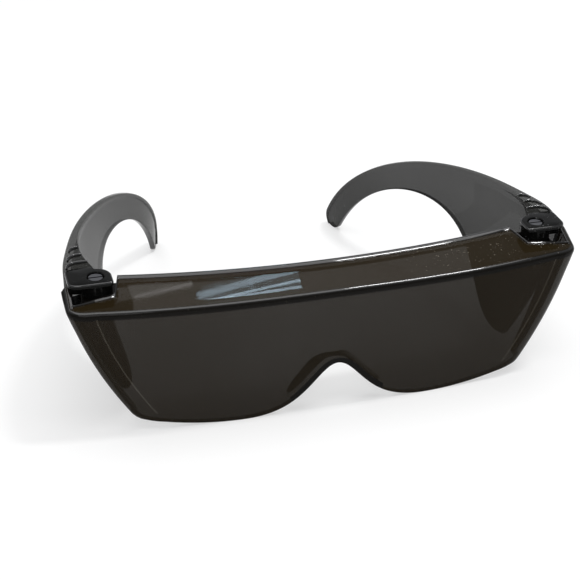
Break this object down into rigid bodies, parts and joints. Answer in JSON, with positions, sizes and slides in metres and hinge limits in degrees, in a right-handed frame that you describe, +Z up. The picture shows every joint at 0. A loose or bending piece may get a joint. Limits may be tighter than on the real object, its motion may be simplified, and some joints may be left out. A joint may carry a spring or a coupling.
{
  "type": "wraparound sunglasses",
  "caption": "Wraparound fit-over sunglasses: a one-piece smoke-tinted shield with a brow shelf and nose notch, and wide translucent temples that fold on hinge screws.",
  "frame": {"origin": "middle of the outer box, on the surface the open glasses stand on", "axes": "+X to the right of the face as seen from the front, +Y from the lens back along the temples, +Z up"},
  "size_m": [0.16, 0.121, 0.0484],
  "materials": {
    "tinted_plastic": "polished, transparent smoke tint",
    "smoke_plastic": "polished, translucent grey",
    "screw_steel": "bright",
    "nut_steel": "bright"
  },
  "bodies": {
    "shield": {"front_shield": "tinted_plastic"},
    "left_arm": {"left_temple": "smoke_plastic", "left_hinge_screw": "screw_steel", "left_hinge_nut": "nut_steel"},
    "right_arm": {"right_temple": "smoke_plastic", "right_hinge_screw": "screw_steel", "right_hinge_nut": "nut_steel"}
  },
  "joints": [
    {"name": "right_temple_fold", "type": "hinge", "parent": "shield", "child": "right_arm", "pos_m": [0.07, -0.044, 0.0404], "axis": [0, 0, 1], "range_deg": [0, 72]},
    {"name": "left_temple_fold", "type": "hinge", "parent": "shield", "child": "left_arm", "pos_m": [-0.07, -0.044, 0.0404], "axis": [0, 0, -1], "range_deg": [0, 62]}
  ]
}
